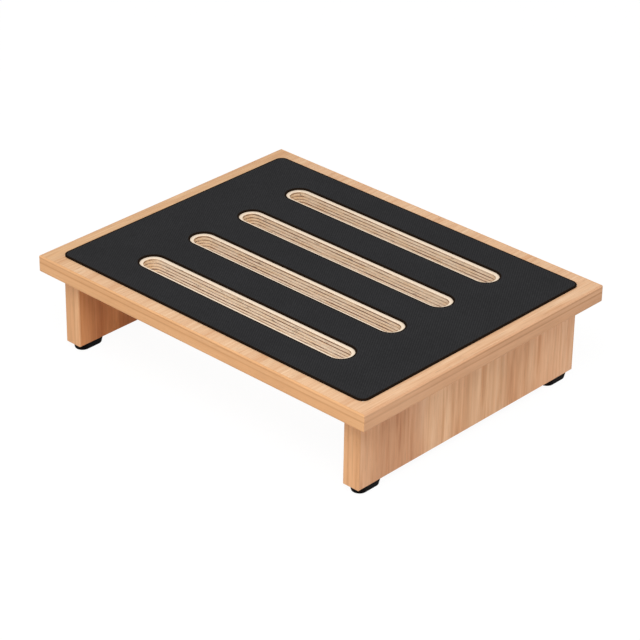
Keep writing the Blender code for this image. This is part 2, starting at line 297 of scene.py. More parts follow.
plainWood = {  # widths and sizes in metres, and how much longer each figure is along the grain
    "grain": "X", "offset": (0, 0, 0),
    "bandWidth": 0.022, "bandStretch": 14, "bandShare": 0.55,        # broad bands of growth
    "streakWidth": 0.005, "streakStretch": 26, "streakShare": 0.45,  # streaks a few millimetres wide
    "fibreWidth": 0.0011, "fibreStretch": 40, "fibreRange": (0.93, 1.03),
    "poreSize": 0.0014, "poreStretch": 9, "poreTone": 0.90,
    "figureSize": 0.007, "figureStretch": 3, "figureRange": (0.975, 1.02),  # shimmer across the grain
    "figureTurn": (24, 18),  # degrees about the grain's axis and about the other two
    "tones": [(0.34, shade(216, 166, 116)), (0.50, shade(232, 183, 134)), (0.66, shade(241, 198, 152))],
}


def alongGrain(grain, stretch):  # squeezes the coordinate that runs with the grain
    return tuple(1 / stretch if axis == grain else 1 for axis in "XYZ")


def grainNoise(nodes, links, wood, stretch, size, *settings, turn=(0, 0, 0)):
    scale = alongGrain(wood["grain"], stretch)
    return noiseNode(nodes, links, mappedCoords(nodes, links, scale, wood["offset"], turn), size, *settings)


def woodColour(nodes, links, wood):  # returns the colour and the fibres
    bands = grainNoise(nodes, links, wood, wood["bandStretch"], wood["bandWidth"], 1.5, 0.5, 0.15)
    streaks = grainNoise(nodes, links, wood, wood["streakStretch"], wood["streakWidth"], 3, 0.6, 0.3)
    fibres = grainNoise(nodes, links, wood, wood["fibreStretch"], wood["fibreWidth"], 2, 0.6)
    pores = grainNoise(nodes, links, wood, wood["poreStretch"], wood["poreSize"], 1)
    turn = tuple(wood["figureTurn"][0 if axis == wood["grain"] else 1] for axis in "XYZ")
    figure = grainNoise(nodes, links, wood, wood["figureStretch"], wood["figureSize"], 2, 0.5, 0.4,
                        turn=turn)
    tone = mathNode(nodes, links, "MULTIPLY_ADD", bands, wood["bandShare"], 0.0)
    tone = mathNode(nodes, links, "MULTIPLY_ADD", streaks, wood["streakShare"], tone)
    colour = rampNode(nodes, links, tone, wood["tones"])
    for layer, (dark, light) in ((fibres, wood["fibreRange"]), (figure, wood["figureRange"])):
        tint = rampNode(nodes, links, layer, [(0.30, dark), (0.70, light)])
        colour = multiplyNode(nodes, links, colour, tint)
    dots = rampNode(nodes, links, pores, [(0.25, wood["poreTone"]), (0.34, 1.0)])
    return multiplyNode(nodes, links, colour, dots), fibres


lacquer = {"roughness": (0.46, 0.60), "gloss": 0.25, "bump": 0.6, "fibreHeight": 0.00005}


def woodSurface(nodes, links, shader, colour, fibres):
    links.new(colour, shader.inputs["Base Color"])
    spread = nodes.new("ShaderNodeMapRange")
    for end, value in zip(("To Min", "To Max"), lacquer["roughness"]):
        spread.inputs[end].default_value = value
    links.new(fibres, spread.inputs["Value"])
    links.new(spread.outputs["Result"], shader.inputs["Roughness"])
    shader.inputs["Specular IOR Level"].default_value = lacquer["gloss"]
    bumpNode(nodes, links, shader, fibres, lacquer["bump"], lacquer["fibreHeight"])


def warmTone(tone):  # darker wood is redder, and lighter wood is paler
    return (tone ** 0.75, tone, tone ** 1.35, 1)


lineDrift = {"size": 0.02, "stretch": 20, "reach": 0.0018}  # the noise that shifts the lines


def toneLines(nodes, links, wood, colour, across, lines):
    # lines hold (place, half width, tone); noise shifts them and lets them fade; a tone above 1 draws a
    # lighter line, which the bands use as a painted highlight along their top arris
    wander = grainNoise(nodes, links, wood, lineDrift["stretch"], lineDrift["size"], 2)
    place = mathNode(nodes, links, "MULTIPLY_ADD", wander, lineDrift["reach"], across)
    strength = rampNode(nodes, links, wander, [(0.30, 0.35), (0.55, 1.0)])
    for middle, halfWidth, tone in lines:
        away = mathNode(nodes, links, "SUBTRACT", place, middle + lineDrift["reach"] / 2)
        away = mathNode(nodes, links, "DIVIDE", mathNode(nodes, links, "ABSOLUTE", away), halfWidth)
        line = rampNode(nodes, links, away, [(0.0, warmTone(tone)), (0.35, warmTone(0.4 + 0.6 * tone)),
                                             (1.0, warmTone(1.0))])
        colour = mixNode(nodes, links, strength, colour, multiplyNode(nodes, links, colour, line))
    return colour


def makeBandWood(name, grain, offset, tones, lines):  # lines lie so deep below the top face
    material, nodes, links, shader = newMaterial(name)
    wood = dict(plainWood, grain=grain, offset=offset, tones=tones, bandWidth=0.012, streakWidth=0.003)
    colour, fibres = woodColour(nodes, links, wood)
    depth = mathNode(nodes, links, "SUBTRACT", topFace, placeParts(nodes, links)["Z"])
    colour = toneLines(nodes, links, wood, colour, depth, lines)
    woodSurface(nodes, links, shader, colour, fibres)
    return material


def makeStripWood(name, offset, middle, lines):  # lines lie so far across from the middle
    material, nodes, links, shader = newMaterial(name)
    tones = [(0.34, shade(216, 160, 112)), (0.50, shade(230, 173, 124)), (0.66, shade(238, 186, 138))]
    wood = dict(plainWood, grain="Z", offset=offset, tones=tones, bandWidth=0.010, streakWidth=0.003)
    colour, fibres = woodColour(nodes, links, wood)
    across = mathNode(nodes, links, "SUBTRACT", placeParts(nodes, links)["X"], middle)
    colour = toneLines(nodes, links, wood, colour, across, lines)
    woodSurface(nodes, links, shader, colour, fibres)
    return material


panelFigure = {  # tones at parts of the way from the front end of a panel to its back end
    "right": [(0.0, (0.93, 0.88, 0.86, 1)), (0.06, (0.92, 0.86, 0.83, 1)), (0.09, (0.78, 0.66, 0.60, 1)),
              (0.26, (0.79, 0.67, 0.61, 1)), (0.31, (1.0, 1.0, 1.0, 1)), (0.46, (1.0, 1.0, 0.99, 1)),
              (0.49, (0.89, 0.84, 0.79, 1)), (0.55, (0.98, 0.98, 0.97, 1)), (0.61, (0.97, 0.96, 0.94, 1)),
              (0.65, (0.85, 0.78, 0.72, 1)), (0.71, (0.95, 0.89, 0.84, 1)), (0.79, (0.90, 0.83, 0.78, 1)),
              (0.85, (1.02, 0.96, 0.93, 1)), (1.0, (1.0, 0.95, 0.94, 1))],
    "left": [(0.0, (0.96, 0.96, 0.96, 1)), (0.05, (0.88, 0.87, 0.87, 1)), (0.09, (0.80, 0.70, 0.63, 1)),
             (0.15, (0.94, 0.87, 0.80, 1)), (0.20, (0.80, 0.70, 0.62, 1)), (0.33, (0.90, 0.82, 0.75, 1)),
             (0.41, (0.74, 0.62, 0.52, 1)), (0.60, (0.95, 0.90, 0.86, 1)), (0.78, (0.80, 0.72, 0.66, 1)),
             (1.0, (0.97, 0.92, 0.88, 1))],
    "bandReach": 0.014, "bandSize": 0.016, "bandStretch": 5,  # the bands wander this far
    "flameSize": 0.009, "flameStretch": 11,
    "flameTones": [(0.36, (0.94, 0.88, 0.83, 1)), (0.50, (1.0, 1.0, 1.0, 1)),
                   (0.66, (1.03, 1.03, 1.03, 1))],
    "veinSize": 0.0055, "veinStretch": 20,
    "veinTones": [(0.33, (0.90, 0.82, 0.75, 1)), (0.42, (1.0, 1.0, 1.0, 1))],
    "skin": 0.0003, "innerPaintedShade": (0.88, 0.64, 0.44, 1),  # painted shade on the inner face under the board, redder as from light bounced off the wood
}


def makePanelWood(side, offset, inward):  # inward is 1 where the inner face looks to +X
    material, nodes, links, shader = newMaterial("panelWood_" + side)
    tones = [(0.36, shade(222, 168, 125)), (0.46, shade(234, 185, 143)),
             (0.54, shade(243, 198, 157)), (0.64, shade(248, 206, 167))]
    wood = dict(plainWood, grain="Z", offset=offset, tones=tones, bandWidth=0.026, streakWidth=0.006)
    colour, fibres = woodColour(nodes, links, wood)
    low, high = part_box("side_panel_" + side)
    place = placeParts(nodes, links)
    wander = grainNoise(nodes, links, wood, panelFigure["bandStretch"], panelFigure["bandSize"], 3)
    along = mathNode(nodes, links, "MULTIPLY_ADD", wander, panelFigure["bandReach"], place["Y"])
    along = mathNode(nodes, links, "SUBTRACT", along, low.y + panelFigure["bandReach"] / 2)
    along = mathNode(nodes, links, "DIVIDE", along, high.y - low.y)
    flames = grainNoise(nodes, links, wood, panelFigure["flameStretch"], panelFigure["flameSize"],
                        3, 0.6, 0.4)
    veins = grainNoise(nodes, links, wood, panelFigure["veinStretch"], panelFigure["veinSize"],
                       2, 0.5, 0.3)
    for layer, layerTones in ((along, panelFigure[side]), (flames, panelFigure["flameTones"]),
                              (veins, panelFigure["veinTones"])):
        colour = multiplyNode(nodes, links, colour, rampNode(nodes, links, layer, layerTones))
    # the inner face, under the board, gets painted shade
    depth = mathNode(nodes, links, "SUBTRACT", place["X"], (low.x + high.x) / 2)
    inside = mathNode(nodes, links, "GREATER_THAN", mathNode(nodes, links, "MULTIPLY", depth, inward),
                      (high.x - low.x) / 2 - panelFigure["skin"])
    paintedShade = multiplyNode(nodes, links, colour, panelFigure["innerPaintedShade"])
    colour = mixNode(nodes, links, inside, colour, paintedShade)
    woodSurface(nodes, links, shader, colour, fibres)
    return material


plies = {
    "dark": [(0.0015, 0.0008, 1.0), (0.0053, 0.0008, 1.0), (0.0089, 0.0006, 0.9), (0.0123, 0.0009, 1.0),
             (0.0155, 0.0007, 0.9)],  # depths below the top face, half thicknesses and strengths
    "paleTones": [(0.30, shade(246, 217, 188)), (0.62, shade(255, 236, 209))],
    "darkTones": [(0.30, shade(72, 28, 5)), (0.70, shade(126, 64, 24))],
    "wave": ((1, 1, 0.2), 0.05, 3, 0.5),  # noises as scales of X, Y and Z, size, detail and roughness
    "speckle": ((0.25, 0.25, 1), 0.0016, 3, 0.7),
    "uneven": ((0.08, 0.5, 1), 0.0024, 3, 0.6),
    "cast": ((0.12, 0.5, 1), 0.003, 2, 0.5),
    "voids": ((0.22, 0.6, 1), 0.0026, 2, 0.5),
    "waviness": 0.0004,
    "rim": shade(250, 229, 204), "rimDepth": 0.0004,  # the sanded wood above the first layer
    "endTint": (0.94, 0.86, 0.76, 1),  # the slots' round ends are browner
    "endStart": 0.128, "endFull": 0.139, "endSpan": 0.2,
    "halfX": 0.2065, "halfY": 0.1595, "depth": 0.0172,  # the plies show inside this block alone
}


def makeBoardWood():  # veneer on both faces, a sanded rim round each slot, and plies down the slots' walls
    material, nodes, links, shader = newMaterial("boardPlywood")
    tones = [(0.34, shade(216, 163, 119)), (0.46, shade(228, 182, 141)), (0.56, shade(234, 191, 150)),
             (0.66, shade(242, 203, 165))]
    veneer, fibres = woodColour(nodes, links, dict(
        plainWood, grain="Y", bandWidth=0.016, streakWidth=0.0028, bandShare=0.40, streakShare=0.60,
        tones=tones, fibreRange=(0.90, 1.06), poreTone=0.84))
    place = placeParts(nodes, links)
    across = mathNode(nodes, links, "MULTIPLY_ADD", place["X"], 1 / (boardHigh.x - boardLow.x), 0.5)
    across = rampNode(nodes, links, across, [(0.02, (0.92, 0.87, 0.77, 1)), (0.12, (1, 1, 1, 1)),
                                             (0.86, (1, 1, 1, 1)), (0.98, (0.98, 0.95, 0.94, 1))])
    veneer = multiplyNode(nodes, links, veneer, across)

    def plyNoise(name):
        scale, size, detail, roughness = plies[name]
        return noiseNode(nodes, links, mappedCoords(nodes, links, scale), size, detail, roughness)

    depth = mathNode(nodes, links, "SUBTRACT", topFace, place["Z"])
    wavy = mathNode(nodes, links, "MULTIPLY_ADD", plyNoise("wave"), plies["waviness"], depth)
    wavy = mathNode(nodes, links, "SUBTRACT", wavy, plies["waviness"] / 2)
    layers = 0.0
    for middle, half, strength in plies["dark"]:
        away = mathNode(nodes, links, "ABSOLUTE", mathNode(nodes, links, "SUBTRACT", wavy, middle))
        away = mathNode(nodes, links, "DIVIDE", away, half)
        layer = rampNode(nodes, links, away, [(0.30, strength), (1.0, 0.0)])
        layers = mathNode(nodes, links, "MAXIMUM", layer, layers)
    uneven = rampNode(nodes, links, plyNoise("uneven"), [(0.37, 0.35), (0.55, 1.0)])
    layers = mathNode(nodes, links, "MULTIPLY", layers, uneven)
    speckle = plyNoise("speckle")
    cast = rampNode(nodes, links, plyNoise("cast"), [(0.36, (0.95, 0.90, 0.82, 1)),
                                                     (0.54, (1.0, 1.0, 1.0, 1))])
    pale = multiplyNode(nodes, links, rampNode(nodes, links, speckle, plies["paleTones"]), cast)
    dark = rampNode(nodes, links, speckle, plies["darkTones"])
    core = mixNode(nodes, links, layers, pale, dark)
    voids = rampNode(nodes, links, plyNoise("voids"), [(0.27, 0.50), (0.34, 1.0)])
    core = multiplyNode(nodes, links, core, voids)

    awayX = mathNode(nodes, links, "ABSOLUTE", place["X"])
    awayY = mathNode(nodes, links, "ABSOLUTE", place["Y"])
    ends = rampNode(nodes, links, mathNode(nodes, links, "DIVIDE", awayX, plies["endSpan"]),
                    [(plies["endStart"] / plies["endSpan"], 0.0),
                     (plies["endFull"] / plies["endSpan"], 1.0)])
    core = mixNode(nodes, links, ends, core, multiplyNode(nodes, links, core, plies["endTint"]))
    sanded = mathNode(nodes, links, "LESS_THAN", depth, plies["rimDepth"])
    core = mixNode(nodes, links, sanded, core, plies["rim"])

    inside = mathNode(nodes, links, "LESS_THAN", depth, plies["depth"])
    for distance, limit in ((awayX, plies["halfX"]), (awayY, plies["halfY"])):
        within = mathNode(nodes, links, "LESS_THAN", distance, limit)
        inside = mathNode(nodes, links, "MULTIPLY", inside, within)
    colour = mixNode(nodes, links, inside, veneer, core)
    woodSurface(nodes, links, shader, colour, fibres)
    return material


def makeDowelWood():
    material, nodes, links, shader = newMaterial("dowelBeech")
    tones = [(0.34, shade(214, 172, 136)), (0.50, shade(224, 184, 148)), (0.66, shade(232, 194, 158))]
    colour, fibres = woodColour(nodes, links, dict(
        plainWood, grain="Z", tones=tones, bandWidth=0.006, streakWidth=0.002, poreTone=0.8))
    woodSurface(nodes, links, shader, colour, fibres)
    return material


# Rubber and steel finishes

# the edge colour is painted shade for the dark line round the mat's outline
matFinish = {"face": shade(44, 44, 45), "grooveShade": shade(26, 26, 28), "edge": shade(32, 22, 15),
             "pitch": 0.0027, "lean": 0.62, "relief": 0.00018,
             "gritSize": 0.0005, "scuffSize": 0.0025, "patchSize": 0.04}


def makeMatRubber():  # two sets of slanted ridges leave a fine diamond tread, matt all over, with painted shade in the grooves between them
    material, nodes, links, shader = newMaterial("matRubber")
    place = placeParts(nodes, links)
    plain = mappedCoords(nodes, links)
    ridges = []
    for lean in (matFinish["lean"], -matFinish["lean"]):
        slant = mathNode(nodes, links, "MULTIPLY_ADD", place["Y"], lean, place["X"])
        steps = mathNode(nodes, links, "DIVIDE", slant, matFinish["pitch"])
        ridges.append(mathNode(nodes, links, "PINGPONG", steps, 0.5))
    knob = mathNode(nodes, links, "MULTIPLY", mathNode(nodes, links, "MINIMUM", ridges[0], ridges[1]), 2)
    height = rampNode(nodes, links, knob, [(0.10, 0.0), (0.50, 1.0)])
    grit = noiseNode(nodes, links, plain, matFinish["gritSize"], 2, 0.6)
    scuffs = noiseNode(nodes, links, plain, matFinish["scuffSize"], 3, 0.6)
    patches = noiseNode(nodes, links, plain, matFinish["patchSize"], 3, 0.55)
    # the grooves are painted darker, as shade
    colour = mixNode(nodes, links, height, matFinish["grooveShade"], matFinish["face"])
    for layer, dark, light in ((patches, 0.92, 1.07), (scuffs, 0.84, 1.16)):
        tint = rampNode(nodes, links, layer, [(0.3, dark), (0.7, light)])
        colour = multiplyNode(nodes, links, colour, tint)
    links.new(colour, shader.inputs["Base Color"])
    shader.inputs["Roughness"].default_value = 0.85
    shader.inputs["Specular IOR Level"].default_value = 0.12
    relief = mathNode(nodes, links, "MULTIPLY_ADD", grit, 0.3, height)
    bumpNode(nodes, links, shader, relief, 0.4, matFinish["relief"])
    return material


def makePlainRubber(name, colour, roughness, gloss, gritSize=0.0006):
    material, nodes, links, shader = newMaterial(name)
    grit = noiseNode(nodes, links, mappedCoords(nodes, links), gritSize, 2, 0.6)
    tone = rampNode(nodes, links, grit, [(0.3, 0.85), (0.7, 1.1)])
    links.new(multiplyNode(nodes, links, colour, tone), shader.inputs["Base Color"])
    shader.inputs["Roughness"].default_value = roughness
    shader.inputs["Specular IOR Level"].default_value = gloss
    bumpNode(nodes, links, shader, grit, 0.3, 0.00005)
    return material


def makeZincSteel():
    material, nodes, links, shader = newMaterial("zincSteel")
    spangle = noiseNode(nodes, links, mappedCoords(nodes, links), 0.0011, 3, 0.6)
    links.new(rampNode(nodes, links, spangle, [(0.3, shade(188, 190, 190)), (0.7, shade(214, 214, 210))]),
              shader.inputs["Base Color"])
    shader.inputs["Metallic"].default_value = 1.0
    links.new(rampNode(nodes, links, spangle, [(0.3, 0.26), (0.7, 0.42)]), shader.inputs["Roughness"])
    bumpNode(nodes, links, shader, spangle, 0.2, 0.00002)
    return material


print("finishes")
# lines along the bands and up the strips, as place, half width and tone; the bands' first entry, lighter
# than the wood, is a painted highlight along the top arris
edgeLinesWithPaintedHighlight = [(0.0004, 0.0008, 1.10), (0.0019, 0.0012, 0.68), (0.0074, 0.0014, 0.66), (0.0165, 0.0010, 0.84)]
frontTones = [(0.34, shade(224, 167, 115)), (0.50, shade(229, 173, 121)), (0.66, shade(234, 180, 129))]
# the same band wood darkened as painted shade, for the bands whose outer faces look to -X and +X
shadedBandTones = [(0.34, shade(210, 157, 116)), (0.50, shade(218, 166, 125)), (0.66, shade(224, 174, 134))]
boardWood = makeBoardWood()
bandWoods = {
    "front": makeBandWood("bandWood_front", "X", (0, 0, 0), frontTones, edgeLinesWithPaintedHighlight),
    "back": makeBandWood("bandWood_back", "X", (3, 5, 2), frontTones, edgeLinesWithPaintedHighlight),
    "left": makeBandWood("bandWood_left", "Y", (7, 1, 4), shadedBandTones, edgeLinesWithPaintedHighlight),
    "right": makeBandWood("bandWood_right", "Y", (2, 9, 6), shadedBandTones, edgeLinesWithPaintedHighlight),
}
stripLines = {
    "left": [(0.0028, 0.0022, 0.80), (0.0095, 0.0016, 1.12)],
    "right": [(-0.0040, 0.0018, 0.80), (0.0020, 0.0012, 0.84), (0.0065, 0.0012, 0.82)],
}
stripWoods = {
    "left": makeStripWood("stripWood_left", (4, 3, 1), -panelX, stripLines["left"]),
    "right": makeStripWood("stripWood_right", (1, 2, 3), panelX, stripLines["right"]),
}
panelWoods = {"left": makePanelWood("left", (5, 2, 0), 1), "right": makePanelWood("right", (0, 0, 0), -1)}
dowelWood = makeDowelWood()
matRubber = makeMatRubber()
matEdgePaintedShade = makePlainRubber("matEdgePaintedShade", matFinish["edge"], 1.0, 0.02)
footRubber = makePlainRubber("footRubber", shade(8, 6, 6), 0.6, 0.03)
zincSteel = makeZincSteel()


# Holes: the same cutters go through each piece that a fixing joins

def stretchEnd(rod, height, growth=1.0):  # draws one end out, up or down, and widens or narrows it
    ends = [corner.co.z for corner in rod.data.vertices]
    level = max(ends) if height > 0 else min(ends)
    pickFaces(rod, lambda face: abs(face.normal.z) > 0.9 and abs(face.center.z - level) < 0.00001)
    bpy.ops.mesh.extrude_region_move(TRANSFORM_OT_translate={"value": (0, 0, height)})
    bpy.ops.transform.resize(value=(growth, growth, 1), center_override=(0, 0, 0))
    endEdit()


def moveTo(piece, place):
    piece.data.transform(Matrix.Translation(place))
    return piece


fixings = {  # heights above the floor, places front to back, and the radii of the holes
    "tipGap": 0.0003,  # a hole runs on this far past its screw or dowel
    "screwY": (-0.1215, 0, 0.1215), "screwTop": 0.1065, "screwTip": 0.0565, "screwHole": 0.0028,
    "sinkRadius": 0.0053, "sinkDepth": 0.0031,
    "dowelY": (-0.06075, 0.06075), "dowelLow": 0.0705, "dowelHigh": 0.1008, "dowelHole": 0.0043,
    "footY": 0.141, "footScrewSpacing": 0.016, "footHole": 0.00205, "footHoleEnd": 0.0193,
}


def addScrewHole(place):
    low, neck = fixings["screwTip"] - fixings["tipGap"], fixings["screwTop"] - fixings["sinkDepth"]
    hole = addRod("screwHole", fixings["screwHole"], low, neck, sides=24)
    stretchEnd(hole, fixings["sinkDepth"], fixings["sinkRadius"] / fixings["screwHole"])
    stretchEnd(hole, cutterReach)
    return moveTo(hole, (place[0], place[1], 0))


def addDowelHole(place):
    return addRod("dowelHole", fixings["dowelHole"], fixings["dowelLow"] - fixings["tipGap"],
                  fixings["dowelHigh"] + fixings["tipGap"], place, 32)


def drillFromAbove(piece, x):
    for y in fixings["screwY"]:
        cutAway(piece, addScrewHole((x, y)))
    for y in fixings["dowelY"]:
        cutAway(piece, addDowelHole((x, y)))


# Slots

slot = {"count": 4, "pitch": 0.0716, "length": 0.280, "width": 0.0208, "rim": 0.0006}
slotRows = [slot["pitch"] * (i - (slot["count"] - 1) / 2) for i in range(slot["count"])]


def onSlotEdge(point, grown=0.0):  # true on the outline of a slot that is grown all round
    straight = (slot["length"] - slot["width"]) / 2
    for row in slotRows:
        beyond = max(abs(point.x) - straight, 0)
        distance = math.hypot(beyond, point.y - row)
        if abs(distance - slot["width"] / 2 - grown) < outlineSlack:
            return True
    return False


# Top board, which fills the space inside its bands

band = {"thickness": 0.002, "cornerRadius": 0.0016, "cornerSteps": 9, "edgeRadius": 0.0012,
        "jointGap": 0.00004, "cutterReach": 0.01}

print("top board")
bandLow, bandHigh = Vector(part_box("edge_band_left")[0]), Vector(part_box("edge_band_right")[1])
bandLow.y, bandHigh.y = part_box("edge_band_front")[0].y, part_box("edge_band_back")[1].y
toBand = Vector((band["thickness"] + glueGap, band["thickness"] + glueGap, 0))
board = addBlock("board", bandLow + toBand, bandHigh - toBand)
for row in slotRows:
    cutAway(board, addOblong("slotCutter", slot["length"], slot["width"],
                             underFace - cutterReach, topFace + cutterReach, (0, row), steps=20))
mergePoints(board)
roundEdges(board, lambda a, b: min(a.z, b.z) > topFace - near and onSlotEdge(a) and onSlotEdge(b),
           slot["rim"], edgeSteps)
roundEdges(board, lambda a, b: max(a.z, b.z) < underFace + near and onSlotEdge(a) and onSlotEdge(b),
           slot["rim"], edgeSteps)
for x in (-panelX, panelX):
    drillFromAbove(board, x)
weighNormals(board)
finishPiece(board, "slottedBoard", "top_board", "birch_plywood", boardWood)


# Edge bands: the front and right ones are made, and the others are their half-turned twins

print("edge bands")
opposite = {"front": "back", "right": "left"}
for side, along, out in (("front", Vector((1, 0, 0)), Vector((0, -1, 0))),
                         ("right", Vector((0, 1, 0)), Vector((1, 0, 0)))):
    strip = addBlock("band", bandLow, bandHigh)
    roundEdges(strip, isUpright, band["cornerRadius"], band["cornerSteps"])
    roundEdges(strip, isLevel, band["edgeRadius"], edgeSteps)
    inner = Vector((band["thickness"], band["thickness"], -band["cutterReach"]))
    cutAway(strip, addBlock("core", bandLow + inner, bandHigh - inner))
    for direction in (1, -1):
        corner = Vector((math.copysign(bandHigh.x, (along * direction + out).x),
                         math.copysign(bandHigh.y, (along * direction + out).y), 0))
        corner -= along * direction * band["jointGap"]
        pickAll(strip)
        bpy.ops.mesh.bisect(plane_co=corner, plane_no=(along * direction - out), use_fill=True,
                            clear_outer=True, clear_inner=False, threshold=0.000001)
        endEdit()
    weighNormals(strip)
    twin = copyTo(strip, halfTurn(0, 0))
    finishPiece(strip, "edgeBand_" + side, "edge_band_" + side, "wood_band", bandWoods[side])
    other = opposite[side]
    finishPiece(twin, "edgeBand_" + other, "edge_band_" + other, "wood_band", bandWoods[other])


# Mat

mat = {"cornerRadius": 0.009, "slotMargin": 0.0039, "edgeRadius": 0.0004, "edgeShadeWidth": 0.0018}


def onMatOutline(point):
    radius = mat["cornerRadius"]
    beyondX = abs(point.x) - (matHigh.x - radius)
    beyondY = abs(point.y) - (matHigh.y - radius)
    if beyondX > 0 and beyondY > 0:
        return abs(math.hypot(beyondX, beyondY) - radius) < outlineSlack
    if min(abs(beyondX - radius), abs(beyondY - radius)) < outlineSlack:
        return True
    return onSlotEdge(point, mat["slotMargin"])


print("mat")
matLow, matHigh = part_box("non_slip_mat")
sheet = addBlock("sheet", (matLow.x, matLow.y, topFace + glueGap), matHigh)
roundEdges(sheet, isUpright, mat["cornerRadius"], 16)
for row in slotRows:
    cutAway(sheet, addOblong("openingCutter", slot["length"] + 2 * mat["slotMargin"],
                             slot["width"] + 2 * mat["slotMargin"], matLow.z - cutterReach,
                             matHigh.z + cutterReach, (0, row), steps=20))
mergePoints(sheet)
pickFaces(sheet, lambda face: face.normal.z > 0.9)
bpy.ops.mesh.inset(thickness=mat["edgeShadeWidth"], use_boundary=True, use_even_offset=True)
endEdit()
innerFaces = {face.index for face in sheet.data.polygons if face.select}
sheet.data.materials.append(matRubber)
sheet.data.materials.append(matEdgePaintedShade)
for face in sheet.data.polygons:  # painted shade: the cut edge and a narrow strip beside it are darker than the face, as the shadow line round the mat's outline
    face.material_index = 0 if face.index in innerFaces else 1
roundEdges(sheet, lambda a, b: min(a.z, b.z) > matHigh.z - near and onMatOutline(a) and onMatOutline(b),
           mat["edgeRadius"], 3)
weighNormals(sheet)
finishPiece(sheet, "rubberMat", "non_slip_mat", "mat_rubber", matRubber, matEdgePaintedShade)


# Side panels and their end strips: the left panel and its front strip are made, and the rest are copies

panel = {"edgeRadius": 0.0008}
toRight = Vector((2 * panelX, 0, 0))

print("side panels")
low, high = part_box("side_panel_left")
stripLow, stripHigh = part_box("panel_band_left_front")
reach = stripHigh.y + glueGap
upright = addBlock("panel", (low.x, reach, low.z), (high.x, -reach, underFace - glueGap))
roundEdges(upright, lambda a, b: max(a.z, b.z) < low.z + near and abs(a.y - b.y) > near,
           panel["edgeRadius"], edgeSteps)
drillFromAbove(upright, -panelX)
footScrewPlaces = {}
for end, sign in (("front", -1), ("back", 1)):
    for number, shift in ((1, -0.5), (2, 0.5)):
        y = sign * fixings["footY"] + shift * fixings["footScrewSpacing"]
        footScrewPlaces[end, number] = y
        cutAway(upright, addRod("pilotHole", fixings["footHole"], low.z - drillReach,
                                fixings["footHoleEnd"], (-panelX, y), 24))
weighNormals(upright)
twin = copyTo(upright, toRight)
finishPiece(upright, "sidePanel_left", "side_panel_left", "veneered_panel", panelWoods["left"])
finishPiece(twin, "sidePanel_right", "side_panel_right", "veneered_panel", panelWoods["right"])

strip = addBlock("strip", stripLow, (stripHigh.x, stripHigh.y, underFace - glueGap))
roundEdges(strip, lambda a, b: min(a.z, b.z) < stripHigh.z - near
           and (abs(a.y - stripLow.y) < near or abs(b.y - stripLow.y) < near),
           panel["edgeRadius"], edgeSteps)
weighNormals(strip)
for side, shift in (("left", Vector((0, 0, 0))), ("right", toRight)):
    for end in ("front", "back"):
        turn = Matrix.Identity(4) if end == "front" else halfTurn(-panelX, 0)
        piece = copyTo(strip, Matrix.Translation(shift) @ turn)
        where = side + "_" + end
        finishPiece(piece, "panelStrip_" + where, "panel_band_" + where, "wood_band", stripWoods[side])
bpy.data.objects.remove(strip, do_unlink=True)


# Feet

foot = {"draft": 0.0018, "rim": 0.001, "lip": 0.0005, "recess": 0.0042, "recessDepth": 0.0045}

print("feet")
low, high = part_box("foot_left_front")
centre = (low + high) / 2
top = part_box("side_panel_left")[0].z - glueGap
pad = addOblong("foot", high.y - low.y, high.x - low.x, top - foot["lip"], top, centre, alongY=True)
pickFaces(pad, lambda face: face.normal.z < -0.9)  # the underside is drawn down to the floor and narrowed
bpy.ops.mesh.inset(thickness=foot["draft"], depth=top - foot["lip"] - low.z, use_even_offset=True)
endEdit()
roundEdges(pad, lambda a, b: max(a.z, b.z) < low.z + near, foot["rim"], edgeSteps)
for number in (1, 2):
    place = (centre.x, footScrewPlaces["front", number])
    cutAway(pad, addRod("recess", foot["recess"], low.z - drillReach, foot["recessDepth"], place, 32))
    cutAway(pad, addRod("hole", fixings["footHole"], low.z, high.z + drillReach, place, 24))
weighNormals(pad)
for side, x in (("left", 0), ("right", toRight.x)):
    for end, y in (("front", 0), ("back", 2 * fixings["footY"])):
        where = side + "_" + end
        finishPiece(copyTo(pad, Vector((x, y, 0))), "rubberFoot_" + where, "foot_" + where, "foot_rubber",
                    footRubber)
bpy.data.objects.remove(pad, do_unlink=True)


# Dowels, screws and washers: each kind is made once at the middle and copied to its places

def rowPlaces(rows):  # a place on each panel for each row, by the end of its piece's name
    return {side + "_" + str(number): (x, y, 0)
            for side, x in panelSides for number, y in enumerate(rows, 1)}


def setOut(pattern, nodeName, pieceName, places, slotName, material):
    for ending, place in places.items():
        piece = copyTo(pattern, Vector(place))
        finishPiece(piece, pieceName + ending, nodeName + ending, slotName, material)
    bpy.data.objects.remove(pattern, do_unlink=True)


driveShape = {"clearance": 0.001, "narrowing": 0.45}  # room above a head, and how far a recess narrows


def addDriveRecess(screw, top, width, depth, thickness):  # a cross that narrows downwards
    face, above = Vector((0, 0, top)), Vector((0, 0, top + driveShape["clearance"]))
    for size in ((width, thickness), (thickness, width)):
        half = Vector((size[0] / 2, size[1] / 2, 0))
        arm = addBlock("arm", face - half, above + half)
        pickFaces(arm, lambda side: side.normal.z < -0.9)
        bpy.ops.mesh.extrude_region_move(TRANSFORM_OT_translate={"value": (0, 0, -depth)})
        bpy.ops.transform.resize(value=(driveShape["narrowing"], driveShape["narrowing"], 1),
                                 center_override=(0, 0, 0))
        endEdit()
        cutAway(screw, arm)


threadTurn = 0.07  # radians, so that a thread's ends miss the corners of its rod
threadStart = 0.6  # turns between the tip and the thread's first end
pointShare = 0.05  # the width that is left at a point


